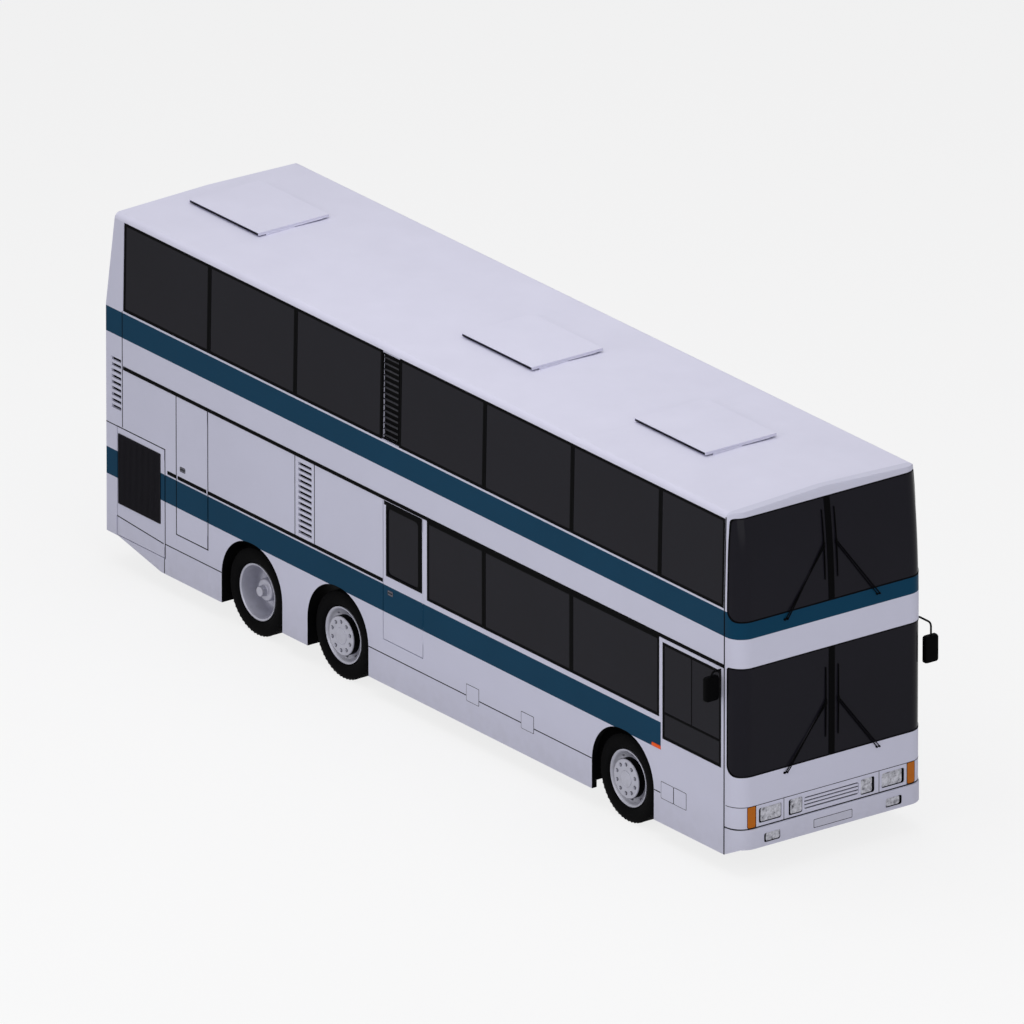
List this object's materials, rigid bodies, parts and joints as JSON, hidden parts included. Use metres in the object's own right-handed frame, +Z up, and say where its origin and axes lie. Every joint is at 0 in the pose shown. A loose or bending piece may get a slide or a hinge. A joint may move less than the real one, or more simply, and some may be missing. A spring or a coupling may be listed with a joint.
{
  "type": "double-deck coach",
  "caption": "Three-axle double-deck coach with hollow cabins, opening doors and lids, steered front wheels, twin rear wheels and seats on both decks.",
  "frame": {"origin": "on the ground below the middle of the coach", "axes": "+X forward, +Y to the left (nearside), +Z up"},
  "size_m": [11.31, 2.92, 4.156],
  "materials": {
    "body_paint": "gloss",
    "roof_paint": "gloss",
    "dark_glass": "gloss",
    "black_trim": "matt",
    "tyre": "matt",
    "wheel_metal": "satin",
    "chassis_paint": "satin",
    "floor_covering": "matt",
    "seat_cloth": "woven",
    "dash_plastic": "matt",
    "clear_lamp": "gloss",
    "amber_lamp": "gloss",
    "red_lamp": "gloss",
    "engine_metal": "cast",
    "tank_metal": "satin"
  },
  "bodies": {
    "coach_body": {"chassis_frame": "chassis_paint", "towing_eye": "chassis_paint", "lower_floor": "floor_covering", "boot_floor": "floor_covering", "upper_floor": "floor_covering", "staircase": "floor_covering", "fuel_tank": "tank_metal", "engine": "engine_metal", "side_wall_right": "body_paint", "side_wall_left": "body_paint", "front_panel": "body_paint", "rear_panel": "body_paint", "roof_panel": "roof_paint", "front_bumper": "body_paint", "rear_bumper": "body_paint", "windscreens": "dark_glass", "side_glass_right": "dark_glass", "side_glass_left": "dark_glass", "rear_glass": "dark_glass", "front_lamps": "clear_lamp", "indicator_lamps": "amber_lamp", "tail_lamps": "red_lamp", "front_grille": "body_paint", "side_vents": "black_trim", "service_flaps": "body_paint", "wipers": "black_trim", "mirrors": "black_trim", "front_axle": "chassis_paint", "middle_axle": "chassis_paint", "rear_axle": "chassis_paint", "seats_lower": "seat_cloth", "seats_upper": "seat_cloth", "dashboard": "dash_plastic"},
    "steering_right": {"knuckle_right": "chassis_paint"},
    "steering_left": {"knuckle_left": "chassis_paint"},
    "wheel_front_right": {"tyre_front_right": "tyre", "rim_front_right": "wheel_metal"},
    "wheel_front_left": {"tyre_front_left": "tyre", "rim_front_left": "wheel_metal"},
    "wheel_middle_right": {"tyre_middle_right": "tyre", "rim_middle_right": "wheel_metal"},
    "wheel_middle_left": {"tyre_middle_left": "tyre", "rim_middle_left": "wheel_metal"},
    "wheel_rear_right": {"tyre_rear_right": "tyre", "rim_rear_right": "wheel_metal"},
    "wheel_rear_left": {"tyre_rear_left": "tyre", "rim_rear_left": "wheel_metal"},
    "entrance": {"passenger_door": "body_paint", "passenger_door_glass": "dark_glass"},
    "emergency_exit": {"emergency_door": "body_paint", "emergency_door_glass": "dark_glass"},
    "luggage_door_right_body": {"luggage_door_right": "body_paint"},
    "luggage_door_left_body": {"luggage_door_left": "body_paint"},
    "radiator_door_right_body": {"radiator_door_right": "body_paint"},
    "radiator_door_left_body": {"radiator_door_left": "body_paint"},
    "engine_cover_body": {"engine_cover": "body_paint"},
    "roof_hatch_front_body": {"roof_hatch_front": "roof_paint"},
    "roof_hatch_middle_body": {"roof_hatch_middle": "roof_paint"},
    "roof_hatch_rear_body": {"roof_hatch_rear": "roof_paint"}
  },
  "joints": [
    {"name": "steer_right", "type": "hinge", "parent": "coach_body", "child": "steering_right", "pos_m": [3.625, -0.86, 0.49], "axis": [0, 0, 1], "range_deg": [-38, 38]},
    {"name": "steer_left", "type": "hinge", "parent": "coach_body", "child": "steering_left", "pos_m": [3.625, 0.86, 0.49], "axis": [0, 0, 1], "range_deg": [-38, 38]},
    {"name": "roll_front_right", "type": "hinge", "parent": "steering_right", "child": "wheel_front_right", "pos_m": [3.625, -1.06, 0.49], "axis": [0, 1, 0], "continuous": true},
    {"name": "roll_front_left", "type": "hinge", "parent": "steering_left", "child": "wheel_front_left", "pos_m": [3.625, 1.06, 0.49], "axis": [0, 1, 0], "continuous": true},
    {"name": "roll_middle_right", "type": "hinge", "parent": "coach_body", "child": "wheel_middle_right", "pos_m": [-1.425, -1.06, 0.49], "axis": [0, 1, 0], "continuous": true},
    {"name": "roll_middle_left", "type": "hinge", "parent": "coach_body", "child": "wheel_middle_left", "pos_m": [-1.425, 1.06, 0.49], "axis": [0, 1, 0], "continuous": true},
    {"name": "roll_rear_right", "type": "hinge", "parent": "coach_body", "child": "wheel_rear_right", "pos_m": [-2.965, -1.06, 0.49], "axis": [0, 1, 0], "continuous": true},
    {"name": "roll_rear_left", "type": "hinge", "parent": "coach_body", "child": "wheel_rear_left", "pos_m": [-2.965, 1.06, 0.49], "axis": [0, 1, 0], "continuous": true},
    {"name": "entrance_hinge", "type": "hinge", "parent": "coach_body", "child": "entrance", "pos_m": [5.27, 1.25, 1], "axis": [0, 0, -1], "range_deg": [0, 85]},
    {"name": "emergency_hinge", "type": "hinge", "parent": "coach_body", "child": "emergency_exit", "pos_m": [0.09, -1.25, 1], "axis": [0, 0, 1], "range_deg": [0, 85]},
    {"name": "luggage_hinge_right", "type": "hinge", "parent": "coach_body", "child": "luggage_door_right_body", "pos_m": [-3.765, -1.25, 1], "axis": [0, 0, 1], "range_deg": [0, 85]},
    {"name": "radiator_hinge_right", "type": "hinge", "parent": "coach_body", "child": "radiator_door_right_body", "pos_m": [-4.538, -1.25, 1], "axis": [0, 0, 1], "range_deg": [0, 85]},
    {"name": "luggage_hinge_left", "type": "hinge", "parent": "coach_body", "child": "luggage_door_left_body", "pos_m": [-3.765, 1.25, 1], "axis": [0, 0, -1], "range_deg": [0, 85]},
    {"name": "radiator_hinge_left", "type": "hinge", "parent": "coach_body", "child": "radiator_door_left_body", "pos_m": [-4.538, 1.25, 1], "axis": [0, 0, -1], "range_deg": [0, 85]},
    {"name": "engine_cover_hinge", "type": "hinge", "parent": "coach_body", "child": "engine_cover_body", "pos_m": [-5.586, 0, 1.725], "axis": [0, 1, 0], "range_deg": [0, 75]},
    {"name": "hatch_hinge_front", "type": "hinge", "parent": "coach_body", "child": "roof_hatch_front_body", "pos_m": [4.038, 0, 4.1285], "axis": [0, 1, 0], "range_deg": [0, 25]},
    {"name": "hatch_hinge_middle", "type": "hinge", "parent": "coach_body", "child": "roof_hatch_middle_body", "pos_m": [0.989, 0, 4.1285], "axis": [0, 1, 0], "range_deg": [0, 25]},
    {"name": "hatch_hinge_rear", "type": "hinge", "parent": "coach_body", "child": "roof_hatch_rear_body", "pos_m": [-3.881, 0, 4.1285], "axis": [0, 1, 0], "range_deg": [0, 25]}
  ],
  "couplings": [
    {"joint": "steer_left", "follows": "steer_right", "ratio": 1}
  ]
}
